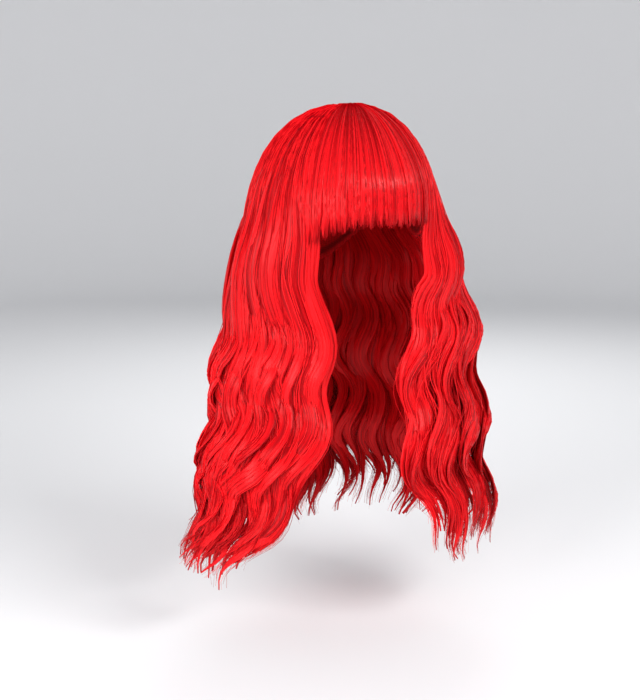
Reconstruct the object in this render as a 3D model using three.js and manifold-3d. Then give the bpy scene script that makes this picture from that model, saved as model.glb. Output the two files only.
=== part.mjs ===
// A long, wavy, full-fringe wig, in millimetres, +Z up, facing -Y.
// The origin is the inside top of the cap, where the wig rests on the crown of a head.
// The hair is laid over the cap in locks that start at the crown: short ones make the fringe,
// long ones fall past the face and down the back. The locks of one panel are one solid.
import * as THREE from 'three';
import { mergeVertices } from 'three/addons/utils/BufferGeometryUtils.js';
import Module from 'manifold-3d';

const wasm = await Module();
wasm.setup();

// Cap: the head's inside sizes and the woven wall
const headWidth = 152;
const headDepth = 190;
const domeHeight = 95; // from the top of the head down to its widest level
const napeTaper = 140; // how slowly the head narrows below its widest level
const capWall = 1.6;
const clearance = 0.3; // between a panel of hair and what it lies on or beside

// Hair: how far it drops, spreads and stands out
const hairDrop = 440; // from the crown to the longest tips
const hairSpread = 165; // from the middle to the widest side locks
const hairReach = 120; // from the middle to the furthest front or back locks
const crownThickness = 11; // of the hair over the cap
const crownOffset = 8; // the whorl lies this far to the wearer's left of the middle
const rootRadius = 2.5; // the locks start in a ring of this size round the whorl
const fringeThickness = 11;
const lockThickness = 21;
const rootLift = 1; // from the cap to the middle of a lock, on the dome
const fringeLift = 7; // the same at the fringe's cut edge
const earLift = 5; // the same where the long locks leave the head
const domeTravel = 110; // along a lock from the crown to where it leaves the head
const loosenStart = 90; // along a lock, where it starts to open from flat to full
const loosenRamp = 100; // the length over which it opens

// Waves: straight over the head, then S-shaped below the ears
const waveLength = 88;
const waveSwing = 6.5; // sideways
const waveLift = 5; // in and out
const waveStart = 165; // along a lock from the crown
const waveRamp = 90; // the length over which the waves grow to their full size

const red = 0xf0161c;
const deepRed = 0x8c0a10;

// The cap's edge, as the angle down from the top of the head at each angle around from the face.
const capEdge = [
  { around: 0, down: 58 },
  { around: 48, down: 68 },
  { around: 84, down: 100 },
  { around: 118, down: 92 },
  { around: 180, down: 113 },
];

// The fringe's locks. around and edge say where each ends, in degrees from the face and in shares of
// domeHeight, and width is in shares of headWidth.
const fringeLocks = [
  { around: -43, edge: 1.22, width: 0.2 },
  { around: -29, edge: 1.1, width: 0.2 },
  { around: -15, edge: 1.04, width: 0.2 },
  { around: -1, edge: 1.02, width: 0.2 },
  { around: 14, edge: 1.03, width: 0.2 },
  { around: 28, edge: 1.01, width: 0.2 },
  { around: 42, edge: 1.03, width: 0.185 },
];

// The long locks of each panel. around is the angle at which a lock leaves the head, and facing
// the way its flat side looks where it hangs. Its places beside the cheek and the jaw, on the
// chest and at the tip are shares: x of hairSpread, y of hairReach, and the tip's z of
// hairDrop. width is in shares of hairSpread, and phase is in turns of the wave.
const longLocks = {
  right_front_hair: [
    { around: -52, facing: -20, cheek: [-0.43, -0.5], jaw: [-0.35, -0.52], chest: [-0.5, -0.67],
      tip: [-0.77, -0.56, 0.95], width: 0.26, phase: 0.85 },
    { around: -64, facing: -35, cheek: [-0.51, -0.38], jaw: [-0.48, -0.43], chest: [-0.63, -0.6],
      tip: [-0.88, -0.5, 1.0], width: 0.26, phase: 0.83 },
    { around: -77, facing: -50, cheek: [-0.57, -0.25], jaw: [-0.59, -0.3], chest: [-0.75, -0.5],
      tip: [-0.97, -0.42, 0.98], width: 0.25, phase: 0.79 },
  ],
  left_front_hair: [
    { around: 52, facing: 20, cheek: [0.48, -0.5], jaw: [0.38, -0.5], chest: [0.31, -0.68],
      tip: [0.5, -0.7, 0.95], width: 0.25, phase: 0.97 },
    { around: 64, facing: 35, cheek: [0.55, -0.38], jaw: [0.54, -0.42], chest: [0.48, -0.63],
      tip: [0.64, -0.64, 0.98], width: 0.26, phase: 0.07 },
    { around: 77, facing: 50, cheek: [0.61, -0.25], jaw: [0.68, -0.28], chest: [0.64, -0.54],
      tip: [0.77, -0.54, 0.97], width: 0.25, phase: 0.11 },
  ],
  right_side_hair: [
    { around: -90, facing: -68, cheek: [-0.58, -0.1], jaw: [-0.64, -0.13], chest: [-0.8, -0.34],
      tip: [-1.0, -0.3, 0.97], width: 0.24, phase: 0.73 },
    { around: -103, facing: -88, cheek: [-0.58, 0.07], jaw: [-0.64, 0.06], chest: [-0.81, -0.14],
      tip: [-0.95, -0.14, 0.95], width: 0.24, phase: 0.65 },
    { around: -116, facing: -108, cheek: [-0.56, 0.23], jaw: [-0.61, 0.26], chest: [-0.77, 0.07],
      tip: [-0.88, 0.03, 0.96], width: 0.24, phase: 0.56 },
  ],
  left_side_hair: [
    { around: 90, facing: 68, cheek: [0.64, -0.1], jaw: [0.76, -0.1], chest: [0.77, -0.38],
      tip: [0.87, -0.4, 0.96], width: 0.24, phase: 0.11 },
    { around: 103, facing: 88, cheek: [0.65, 0.07], jaw: [0.77, 0.08], chest: [0.8, -0.17],
      tip: [0.88, -0.2, 0.95], width: 0.24, phase: 0.13 },
    { around: 116, facing: 108, cheek: [0.61, 0.23], jaw: [0.71, 0.27], chest: [0.77, 0.06],
      tip: [0.82, 0.02, 0.94], width: 0.24, phase: 0.16 },
  ],
  right_back_hair: [
    { around: -129, facing: -128, cheek: [-0.53, 0.4], jaw: [-0.57, 0.45], chest: [-0.67, 0.28],
      tip: [-0.74, 0.22, 0.96], width: 0.24, phase: 0.47 },
    { around: -141, facing: -143, cheek: [-0.44, 0.57], jaw: [-0.46, 0.6], chest: [-0.56, 0.48],
      tip: [-0.6, 0.44, 0.98], width: 0.24, phase: 0.44 },
    { around: -153, facing: -157, cheek: [-0.32, 0.69], jaw: [-0.32, 0.72], chest: [-0.41, 0.64],
      tip: [-0.45, 0.6, 0.96], width: 0.24, phase: 0.42 },
  ],
  left_back_hair: [
    { around: 129, facing: 128, cheek: [0.54, 0.4], jaw: [0.6, 0.45], chest: [0.64, 0.27],
      tip: [0.67, 0.22, 0.95], width: 0.24, phase: 0.2 },
    { around: 141, facing: 143, cheek: [0.45, 0.57], jaw: [0.48, 0.6], chest: [0.54, 0.47],
      tip: [0.56, 0.44, 0.97], width: 0.24, phase: 0.24 },
    { around: 153, facing: 157, cheek: [0.33, 0.69], jaw: [0.34, 0.72], chest: [0.4, 0.63],
      tip: [0.42, 0.6, 0.96], width: 0.24, phase: 0.27 },
  ],
  middle_back_hair: [
    { around: -166, facing: -170, cheek: [-0.18, 0.76], jaw: [-0.17, 0.79], chest: [-0.22, 0.73],
      tip: [-0.25, 0.7, 0.98], width: 0.25, phase: 0.39 },
    { around: 180, facing: 180, cheek: [0.0, 0.79], jaw: [0.0, 0.82], chest: [0.0, 0.77],
      tip: [-0.01, 0.75, 1.0], width: 0.25, phase: 0.32 },
    { around: 166, facing: 170, cheek: [0.18, 0.76], jaw: [0.18, 0.79], chest: [0.21, 0.73],
      tip: [0.23, 0.7, 0.97], width: 0.25, phase: 0.3 },
  ],
};
const cheekLevel = 0.34; // shares of hairDrop
const jawLevel = 0.46;
const chestLevel = 0.74;
const tipShare = 0.55; // of a lock's width and thickness, left at its tip

// The number of flats that stand for a curve
const capStepsAround = 28;
const capStepsDown = 7;
const lockSides = 5;
const fringeStations = 5;
const domeStations = 4;
const hangStations = 14;

const radians = THREE.MathUtils.degToRad;
const smooth = THREE.MathUtils.smoothstep;
const lerp = THREE.MathUtils.lerp;

// A point over the head: around from the face, down from the top, and lifted off the skin.
function overHead(around, down, lift) {
  const a = radians(around);
  const d = radians(down);
  const tall = down > 90 ? napeTaper : domeHeight;
  const point = new THREE.Vector3(
    (headWidth / 2) * Math.sin(d) * Math.sin(a),
    -(headDepth / 2) * Math.sin(d) * Math.cos(a),
    tall * Math.cos(d) - domeHeight,
  );
  return point.addScaledVector(awayFromHead(point), lift);
}

// The direction straight out of the head at a point on it or outside it.
function awayFromHead(point) {
  const above = point.z + domeHeight;
  const tall = above < 0 ? napeTaper : domeHeight;
  return new THREE.Vector3(
    point.x / (headWidth / 2) ** 2,
    point.y / (headDepth / 2) ** 2,
    above / tall ** 2,
  ).normalize();
}

function capEdgeAt(around) {
  const turn = Math.abs(around > 180 ? around - 360 : around);
  const next = Math.max(1, capEdge.findIndex((row) => row.around >= turn));
  const [low, high] = [capEdge[next - 1], capEdge[next]];
  return lerp(low.down, high.down, smooth(turn, low.around, high.around));
}

// A closed mesh from rings of points, each with as many as the next, and a point at either end.
function loft(start, rings, end) {
  const sides = rings[0].length;
  const points = [start, ...rings.flat(), end];
  const at = (ring, side) => 1 + ring * sides + (side % sides);
  const faces = [];
  for (let side = 0; side < sides; side += 1) {
    faces.push(0, at(0, side), at(0, side + 1));
    for (let ring = 0; ring < rings.length - 1; ring += 1) {
      faces.push(at(ring, side), at(ring + 1, side + 1), at(ring, side + 1));
      faces.push(at(ring, side), at(ring + 1, side), at(ring + 1, side + 1));
    }
    faces.push(points.length - 1, at(rings.length - 1, side + 1), at(rings.length - 1, side));
  }
  const geometry = new THREE.BufferGeometry().setFromPoints(points);
  geometry.setIndex(faces);
  return geometry;
}

function solid(geometry) {
  const merged = mergeVertices(geometry, 1e-4);
  const made = new wasm.Manifold(new wasm.Mesh({
    numProp: 3,
    vertProperties: merged.attributes.position.array,
    triVerts: new Uint32Array(merged.index.array),
  }));
  if (made.volume() < 0) throw new Error('a solid is inside out');
  return made;
}

function geometryOf(made) {
  const mesh = made.getMesh();
  const geometry = new THREE.BufferGeometry();
  geometry.setAttribute('position', new THREE.BufferAttribute(mesh.vertProperties, 3));
  geometry.setIndex(new THREE.BufferAttribute(mesh.triVerts, 1));
  geometry.computeVertexNormals();
  return geometry;
}

// A ring round the head. Shares up to 1 run from the top to the cap's edge, and up to 2 on to the neck.
function headRing(share, lift) {
  const ring = [];
  for (let step = 0; step < capStepsAround; step += 1) {
    const around = (step * 360) / capStepsAround;
    const edge = capEdgeAt(around);
    const down = share < 1 ? share * edge : lerp(edge, 180, share - 1);
    ring.push(overHead(around, down, lift));
  }
  return ring;
}

// The cap: a dome of outer rings from the top to the edge, and inner rings back up again.
function capSolid() {
  const outer = [];
  const inner = [];
  for (let step = 1; step <= capStepsDown; step += 1) {
    outer.push(headRing(step / capStepsDown, capWall));
    inner.unshift(headRing(step / capStepsDown, 0));
  }
  const top = overHead(0, 0, capWall);
  const seat = overHead(0, 0, 0);
  return solid(loft(top, [...outer, ...inner], seat));
}

// The room that the cap and the head need, which no hair enters.
function headRoom() {
  const rings = [];
  const lift = capWall + clearance;
  for (let step = 1; step < 2 * capStepsDown; step += 1) {
    rings.push(headRing(step / capStepsDown, lift));
  }
  return solid(loft(overHead(0, 0, lift), rings, overHead(0, 180, lift)));
}

// One cross-section of a lock: a flattened ring across the path, wide along side and thick along out,
// with a ridge outwards.
function section(centre, side, out, halfWidth, halfThickness) {
  const ring = [];
  for (let corner = 0; corner < lockSides; corner += 1) {
    const turn = (corner / lockSides + 0.25) * 2 * Math.PI;
    ring.push(centre.clone()
      .addScaledVector(side, halfWidth * Math.cos(turn))
      .addScaledVector(out, halfThickness * Math.sin(turn)));
  }
  return ring;
}

// The place a little further out than an end of a path, away from the place before it.
function beyond(end, before, distance) {
  return end.clone().addScaledVector(end.clone().sub(before).normalize(), distance);
}

// A lock: sections carried along a path of places, each { point, out, halfWidth, halfThickness }.
function lockSolid(places, grow) {
  const rings = places.map((place, index) => {
    const before = places[Math.max(0, index - 1)].point;
    const after = places[Math.min(places.length - 1, index + 1)].point;
    const along = after.clone().sub(before).normalize();
    const side = new THREE.Vector3().crossVectors(along, place.out).normalize();
    const out = new THREE.Vector3().crossVectors(side, along).normalize();
    return section(place.point, side, out, place.halfWidth + grow, place.halfThickness + grow);
  });
  const last = places.length - 1;
  const start = beyond(places[0].point, places[1].point, grow);
  const end = beyond(places[last].point, places[last - 1].point, grow);
  return solid(loft(start, rings, end));
}

// The whorl shifts the roots sideways, and its pull fades down the dome.
function domePoint(around, down, lift) {
  const pull = Math.max(0, 1 - down / 90) ** 2;
  const point = overHead(around, down, lift);
  point.x += crownOffset * pull;
  return point;
}

// How wide a lock is on the dome: it narrows to the whorl as a slice of the dome does.
function domeWidth(width, down) {
  return width * Math.max(0.3, Math.sin(radians(Math.min(down, 90))));
}

const rootDown = (rootRadius / (headWidth / 2)) * THREE.MathUtils.RAD2DEG;

function fringePlaces(row) {
  const edgeDown = row.edge < 1
    ? Math.acos(1 - row.edge) * THREE.MathUtils.RAD2DEG
    : 90 + Math.asin(((row.edge - 1) * domeHeight) / napeTaper) * THREE.MathUtils.RAD2DEG;
  const places = [];
  for (let step = 0; step <= fringeStations; step += 1) {
    const share = step / fringeStations;
    const down = lerp(-rootDown, edgeDown, share);
    const fall = smooth(share, 0.5, 1);
    const end = 1 - 0.55 * smooth(share, 0.8, 1);
    const point = domePoint(row.around, down, capWall + lerp(rootLift, fringeLift, fall));
    places.push({
      point,
      out: awayFromHead(point),
      halfWidth: (domeWidth(row.width * headWidth, down) / 2) * lerp(1, 0.8, smooth(share, 0.85, 1)),
      halfThickness: lerp(crownThickness - rootLift, fringeThickness / 2, fall) * end,
    });
  }
  return places;
}

function hanging([x, y], level) {
  return new THREE.Vector3(x * hairSpread, y * hairReach, -level * hairDrop);
}

function longPlaces(row) {
  const dome = [rootDown, 28, 50, 72];
  const points = dome.map((down) => domePoint(row.around, down, capWall + rootLift));
  points.push(overHead(row.around, 94, capWall + earLift));
  points.push(hanging(row.cheek, cheekLevel), hanging(row.jaw, jawLevel));
  points.push(hanging(row.chest, chestLevel), hanging(row.tip, row.tip[2]));
  const curve = new THREE.CatmullRomCurve3(points);
  const facing = new THREE.Vector3(Math.sin(radians(row.facing)), -Math.cos(radians(row.facing)), 0);
  const length = curve.getLength();
  const domeShare = domeTravel / length;
  const places = [];
  const shares = [];
  for (let step = 0; step < domeStations; step += 1) shares.push((domeShare * step) / domeStations);
  for (let step = 0; step <= hangStations; step += 1) {
    shares.push(lerp(domeShare, 1, step / hangStations));
  }
  for (const share of shares) {
    const point = curve.getPointAt(share);
    const along = curve.getTangentAt(share);
    const travelled = share * length;
    const fall = smooth(travelled, loosenStart, loosenStart + loosenRamp);
    const out = awayFromHead(point).lerp(facing, fall).normalize();
    const side = new THREE.Vector3().crossVectors(along, out).normalize();
    const grown = smooth(travelled, waveStart, waveStart + waveRamp);
    const turn = 2 * Math.PI * (travelled / waveLength + row.phase);
    const tip = smooth(share, 0.72, 1);
    const full = row.width * hairSpread;
    const down = (travelled / domeTravel) * 66;
    places.push({
      point: point
        .addScaledVector(side, waveSwing * grown * Math.sin(turn))
        .addScaledVector(out, waveLift * grown * Math.cos(turn)),
      out,
      halfWidth: (lerp(domeWidth(full * 0.85, down), full, fall) / 2) * lerp(1, tipShare, tip),
      halfThickness: lerp(crownThickness - rootLift, lockThickness / 2, fall) * lerp(1, tipShare, tip),
    });
  }
  return places;
}

// The locks of one panel joined, each grown by a margin where the panel is used to cut its neighbours.
function panelSolid(lockPlaces, grow) {
  return lockPlaces.map((places) => lockSolid(places, grow)).reduce((all, one) => all.add(one));
}

// What is left after cutting can hold loose offcuts, so the largest body is the panel.
function mainBody(made) {
  const bodies = made.decompose().sort((one, other) => other.volume() - one.volume());
  return bodies[0];
}

const wig = new THREE.Group();

function addMesh(name, geometry, colour, roughness) {
  const material = new THREE.MeshStandardMaterial({ color: colour, roughness, metalness: 0 });
  const mesh = new THREE.Mesh(geometry, material);
  mesh.name = name;
  wig.add(mesh);
}

addMesh('cap', geometryOf(capSolid()), deepRed, 0.9);

// The panels are laid in order, and each is cut clear of the head and of the panels before it.
const panels = { fringe: fringeLocks.map(fringePlaces) };
for (const [name, rows] of Object.entries(longLocks)) panels[name] = rows.map(longPlaces);
let taken = headRoom();
for (const [name, lockPlaces] of Object.entries(panels)) {
  const panel = mainBody(panelSolid(lockPlaces, 0).subtract(taken));
  addMesh(name, geometryOf(panel), red, 0.45);
  taken = taken.add(panelSolid(lockPlaces, clearance));
}

export default wig;
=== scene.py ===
# %% [markdown]
# # A long, wavy wig with a full fringe
#
# A costume wig is a stretch net cap with thousands of fine plastic fibres sewn to it in rows. They
# all lie away from one point, the whorl at the crown. The short ones in front are cut into a
# fringe, and the long ones fall straight past the temples and then break into loose waves.
#
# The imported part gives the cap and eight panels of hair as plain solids. This lesson replaces each
# of them with the real thing: locks, the flat ribbons that make up a lock, and the strands that lie
# on each ribbon.

import bpy
import numpy as np
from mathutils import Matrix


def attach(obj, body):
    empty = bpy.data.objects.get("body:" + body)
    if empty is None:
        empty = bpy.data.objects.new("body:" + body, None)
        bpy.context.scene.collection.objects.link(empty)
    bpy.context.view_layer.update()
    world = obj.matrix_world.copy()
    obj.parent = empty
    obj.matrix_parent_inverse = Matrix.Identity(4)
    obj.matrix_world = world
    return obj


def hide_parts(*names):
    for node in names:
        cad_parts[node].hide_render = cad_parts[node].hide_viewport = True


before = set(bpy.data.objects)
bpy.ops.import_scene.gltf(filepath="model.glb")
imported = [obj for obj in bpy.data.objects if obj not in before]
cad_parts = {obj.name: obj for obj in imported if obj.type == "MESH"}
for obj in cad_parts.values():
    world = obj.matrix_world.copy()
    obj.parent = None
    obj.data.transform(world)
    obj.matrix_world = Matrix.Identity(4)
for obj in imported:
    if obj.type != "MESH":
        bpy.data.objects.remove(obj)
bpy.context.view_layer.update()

# %% [markdown]
# ## Sizes
#
# The sizes are in millimetres, and a point is turned into metres only when a mesh is made. The
# head, the cap, the panels and the waves have the sizes that the solids were made from, but on the
# wearer's right the waves begin 50 mm later. Ribbons and strands have sizes of their own. The head
# that the cap is made for is an egg: half an ellipsoid above its widest level, and a slower taper
# below it.

# %% The head and the hair in millimetres
METRES = 0.001
head_half = np.array([76.0, 95.0])
dome_height = 95.0
nape_taper = 140.0
cap_wall = 1.6
hair_spread, hair_reach, hair_drop = 165.0, 120.0, 440.0
crown_thickness, fringe_thickness, lock_thickness = 11.0, 11.0, 21.0
crown_offset = 8.0
wave_length, wave_swing, wave_lift = 88.0, 6.5, 5.0
wave_start, wave_ramp = 165.0, 90.0
later_on_the_right = 50.0
leaves_head, hangs_free = 90.0, 190.0
ribbon_swing, ribbon_lift = 6.5, 2.5
ribbon_start, ribbon_ramp = 185.0, 95.0
ribbon_thickness_on_dome, ribbon_thickness = 1.6, 1.8
strand_radius, crossing_radius, fringe_radius, stray_radius = 0.42, 0.40, 0.32, 0.24
# The heights of the cheek, the jaw and the chest, in shares of hair_drop.
levels = np.array([0.34, 0.46, 0.74])


def smooth(value, low, high):
    """0 up to low, 1 from high on, and 3x^2 - 2x^3 between them, where x is the share of the way."""
    x = np.clip((value - low) / (high - low), 0, 1)
    return x * x * (3 - 2 * x)


def unit(vectors):
    """Each vector over its own length."""
    return vectors / np.maximum(np.linalg.norm(vectors, axis=-1, keepdims=True), 1e-9)


def away_from_head(points):
    """The egg's outward normal: x over its half width squared, and so on for y and z."""
    above = points[..., 2] + dome_height
    tall = np.where(above < 0, nape_taper, dome_height)
    return unit(np.stack([
        points[..., 0] / head_half[0] ** 2,
        points[..., 1] / head_half[1] ** 2,
        above / tall ** 2], -1))


def over_head(around, down, lift):
    """A point on the egg at two angles in degrees, around from the face and down from the top.

    x is half the width times sin(down) sin(around), y is minus half the depth times sin(down)
    cos(around), z follows cos(down), and the point is then moved out along the normal by lift.
    """
    around, down, lift = np.broadcast_arrays(np.radians(around), np.radians(down), lift)
    tall = np.where(down > np.pi / 2, nape_taper, dome_height)
    point = np.stack([
        head_half[0] * np.sin(down) * np.sin(around),
        -head_half[1] * np.sin(down) * np.cos(around),
        tall * np.cos(down) - dome_height], -1)
    return point + away_from_head(point) * lift[..., None]


def dome_point(around, down, lift):
    """The same, with the roots moved sideways to the whorl and the move fading out down the dome."""
    point = over_head(around, down, lift)
    pull = np.clip(1 - np.asarray(down, float) / 90, 0, 1) ** 2
    point[..., 0] += crown_offset * pull
    return point


print("head around its widest level:", round(float(2 * np.pi * np.sqrt((head_half ** 2).mean()))), "mm")

# %% [markdown]
# ## Where each lock runs
#
# A lock is a flat bundle that leaves the head at an angle and hangs. It could be simulated as a
# chain of soft rods, but a wig in a picture is combed and laid by hand, so the path is drawn: one
# row of a table names where the lock passes the cheek, the jaw and the chest and where it ends.
# A curve through those places gives the lock's middle line, and the waves are added to it.

# %% The table of long locks
# Angles are in degrees, x and width in shares of hair_spread, y of hair_reach and z of hair_drop.
# phase is a share of one wave.
COLUMNS = "around facing cheek_x cheek_y jaw_x jaw_y chest_x chest_y tip_x tip_y tip_z width phase".split()
LOCKS = {
    "right_front_hair": [
        (-52, -20, -0.43, -0.50, -0.35, -0.52, -0.50, -0.67, -0.77, -0.56, 0.95, 0.26, 0.85),
        (-64, -35, -0.51, -0.38, -0.48, -0.43, -0.63, -0.60, -0.88, -0.50, 1.00, 0.26, 0.83),
        (-77, -50, -0.57, -0.25, -0.59, -0.30, -0.75, -0.50, -0.97, -0.42, 0.98, 0.25, 0.79)],
    "left_front_hair": [
        (52, 20, 0.48, -0.50, 0.38, -0.50, 0.31, -0.68, 0.50, -0.70, 0.95, 0.25, 0.97),
        (64, 35, 0.55, -0.38, 0.54, -0.42, 0.48, -0.63, 0.64, -0.64, 0.98, 0.26, 0.07),
        (77, 50, 0.61, -0.25, 0.68, -0.28, 0.64, -0.54, 0.77, -0.54, 0.97, 0.25, 0.11)],
    "right_side_hair": [
        (-90, -68, -0.58, -0.10, -0.64, -0.13, -0.80, -0.34, -1.00, -0.30, 0.97, 0.24, 0.73),
        (-103, -88, -0.58, 0.07, -0.64, 0.06, -0.81, -0.14, -0.95, -0.14, 0.95, 0.24, 0.65),
        (-116, -108, -0.56, 0.23, -0.61, 0.26, -0.77, 0.07, -0.88, 0.03, 0.96, 0.24, 0.56)],
    "left_side_hair": [
        (90, 68, 0.64, -0.10, 0.76, -0.10, 0.77, -0.38, 0.87, -0.40, 0.96, 0.24, 0.11),
        (103, 88, 0.65, 0.07, 0.77, 0.08, 0.80, -0.17, 0.88, -0.20, 0.95, 0.24, 0.13),
        (116, 108, 0.61, 0.23, 0.71, 0.27, 0.77, 0.06, 0.82, 0.02, 0.94, 0.24, 0.16)],
    "right_back_hair": [
        (-129, -128, -0.53, 0.40, -0.57, 0.45, -0.67, 0.28, -0.74, 0.22, 0.96, 0.24, 0.47),
        (-141, -143, -0.44, 0.57, -0.46, 0.60, -0.56, 0.48, -0.60, 0.44, 0.98, 0.24, 0.44),
        (-153, -157, -0.32, 0.69, -0.32, 0.72, -0.41, 0.64, -0.45, 0.60, 0.96, 0.24, 0.42)],
    "left_back_hair": [
        (129, 128, 0.54, 0.40, 0.60, 0.45, 0.64, 0.27, 0.67, 0.22, 0.95, 0.24, 0.2),
        (141, 143, 0.45, 0.57, 0.48, 0.60, 0.54, 0.47, 0.56, 0.44, 0.97, 0.24, 0.24),
        (153, 157, 0.33, 0.69, 0.34, 0.72, 0.40, 0.63, 0.42, 0.60, 0.96, 0.24, 0.27)],
    "middle_back_hair": [
        (-166, -170, -0.18, 0.76, -0.17, 0.79, -0.22, 0.73, -0.25, 0.70, 0.98, 0.25, 0.39),
        (180, 180, 0.00, 0.79, 0.00, 0.82, 0.00, 0.77, -0.01, 0.75, 1.00, 0.25, 0.32),
        (166, 170, 0.18, 0.76, 0.18, 0.79, 0.21, 0.73, 0.23, 0.70, 0.97, 0.25, 0.3)],
}
# The fringe's locks: around, where the cut edge is in shares of dome_height, and width in mm.
FRINGE = [(-43, 1.22, 30), (-29, 1.10, 30), (-15, 1.04, 30), (-1, 1.02, 30),
          (14, 1.03, 30), (28, 1.01, 30), (42, 1.03, 28)]
print(sum(map(len, LOCKS.values())), "long locks and", len(FRINGE), "fringe locks")

# %% [markdown]
# ## A smooth curve through a few places
#
# Blender could draw this as a NURBS or Bezier curve, but the strands need its points, directions
# and lengths as numbers. A centripetal Catmull-Rom curve passes through every place without
# loops, and it is three rounds of blending that numpy does for all samples at once.


# %% The curve and the frame that rides on it
def smooth_path(places, count):
    """count points, evenly spaced by length, on the centripetal Catmull-Rom curve through places.

    Each place has a knot, and knots are apart by the square root of the distance. A sample blends
    four neighbouring places pairwise, then the pairs, then the results, by its place among the knots.
    """
    ends = np.vstack([2 * places[0] - places[1], places, 2 * places[-1] - places[-2]])
    knots = np.concatenate([[0], np.cumsum(np.linalg.norm(np.diff(ends, axis=0), axis=1) ** 0.5)])
    t = np.linspace(knots[1], knots[-2], 800)
    i = np.clip(np.searchsorted(knots, t, side="right") - 1, 1, len(knots) - 3)

    def mix(a, b, low, high):
        share = ((t - knots[low]) / (knots[high] - knots[low]))[:, None]
        return a * (1 - share) + b * share

    one = [mix(ends[i + k - 1], ends[i + k], i + k - 1, i + k) for k in range(3)]
    two = [mix(one[k], one[k + 1], i + k - 1, i + k + 1) for k in range(2)]
    curve = mix(two[0], two[1], i, i + 1)
    run = np.concatenate([[0], np.cumsum(np.linalg.norm(np.diff(curve, axis=0), axis=1))])
    even = np.linspace(0, run[-1], count)
    return np.stack([np.interp(even, run, curve[:, k]) for k in range(3)], 1), even


def crossways(points, out):
    """side and out at right angles to the path: side is the path's direction crossed with out."""
    along = unit(np.gradient(points, axis=-2))
    side = unit(np.cross(along, out))
    return side, np.cross(side, along)


def long_lock(row):
    """The lock's middle line, with its frame and its half width and half thickness, at 120 places.

    loose is 0 on the head and 1 where the lock hangs. play says how much its ribbons swing by
    themselves: about a third beside the face, and fully at the sides and behind. On the wearer's
    right the hair falls straight for longer, and later is by how many millimetres.
    """
    r = dict(zip(COLUMNS, row))
    down = np.array([2.0, 28, 50, 72])
    dome = dome_point(r["around"], down, cap_wall + 1)
    ear = over_head(r["around"], 94, cap_wall + 5)[None]
    spots = [(r["cheek_x"], r["cheek_y"], levels[0]), (r["jaw_x"], r["jaw_y"], levels[1]),
             (r["chest_x"], r["chest_y"], levels[2]), (r["tip_x"], r["tip_y"], r["tip_z"])]
    hanging = np.array(spots) * [hair_spread, hair_reach, -hair_drop]
    point, run = smooth_path(np.vstack([dome, ear, hanging]), 120)
    turn = np.radians(r["facing"])
    facing = np.array([np.sin(turn), -np.cos(turn), 0.0])
    loose = smooth(run, leaves_head, hangs_free)
    out = unit(away_from_head(point) * (1 - loose)[:, None] + facing * loose[:, None])
    side, out = crossways(point, out)
    share = run / run[-1]
    full = r["width"] * hair_spread
    on_dome = 0.85 * full * np.maximum(0.3, np.sin(np.radians(np.minimum(run * 0.6, 90))))
    tip = 1 - 0.45 * smooth(share, 0.72, 1)
    play = 0.35 + 0.65 * smooth(abs(r["around"]), 50, 85)
    on_the_right = smooth(-r["around"], 20, 50) * smooth(r["around"], -175, -150)
    return dict(point=point, side=side, out=out, run=run, loose=loose, phase=r["phase"], play=play,
                later=later_on_the_right * on_the_right, hangs=True, sparse=0.22,
                half_width=(on_dome * (1 - loose) + full * loose) / 2 * tip,
                half_thick=((crown_thickness - 1) * (1 - loose) + lock_thickness / 2 * loose) * tip)


def cut_edge(around):
    """How far down the fringe is cut at each angle around, eased between the table's rows."""
    rows = np.array(FRINGE)
    edge = np.interp(around, rows[:, 0], rows[:, 1])
    return 90 + np.degrees(np.arcsin((edge - 1) * dome_height / nape_taper))


def fringe_lock(row):
    """The same for a fringe lock, which follows the head from behind the whorl to its cut edge."""
    around, _, width = row
    last = cut_edge(around)
    down = np.linspace(-3, last + 12, 60)
    share = (down + 3) / (last + 3)
    fall = smooth(share, 0.5, 1)
    point = dome_point(around, down, cap_wall + 1 + 6 * fall)
    run = np.concatenate([[0], np.cumsum(np.linalg.norm(np.diff(point, axis=0), axis=1))])
    side, out = crossways(point, away_from_head(point))
    slim = 1 - 0.55 * smooth(share, 0.8, 1)
    spread = np.maximum(0.3, np.sin(np.radians(np.clip(down, 0, 90))))
    return dict(point=point, side=side, out=out, run=run, loose=np.zeros(60), phase=0.0, later=0.0,
                hangs=False, sparse=0.33, around=around, past=last + 15, half_width=width / 2 * spread,
                half_thick=((crown_thickness - 1) * (1 - fall) + fringe_thickness / 2 * fall) * slim)


locks = {node: [long_lock(row) for row in rows] for node, rows in LOCKS.items()}
locks["fringe"] = [fringe_lock(row) for row in FRINGE]
print("longest lock:", round(max(one["run"][-1] for rows in locks.values() for one in rows)), "mm")

# %% [markdown]
# ## Strands inside a lock
#
# Hair is a hierarchy. Fibres cling together in strands, strands lie side by side in flat ribbons,
# and ribbons make a lock. Blender's own hair curves do this with guides and children, but a curve
# system has no closed surface, so here each ribbon and strand is a closed tube. It is
# placed inside its lock by two shares, across its width and through its depth.


# %% Place strands in a lock
def wander(count, stations, size, turns):
    """A slow random walk to either side: the sum of two sine waves with random phases.

    rng is the script's source of random numbers. It is made anew, from a seed, before each panel.
    """
    t = np.linspace(0, 1, stations)
    phase = rng.random((2, count, 1)) * 2 * np.pi
    speed = turns * (0.6 + 0.8 * rng.random((2, count, 1)))
    return size * (np.sin(speed[0] * t * 2 * np.pi + phase[0])
                   + 0.5 * np.sin(2.3 * speed[1] * t * 2 * np.pi + phase[1])) / 1.5


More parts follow.
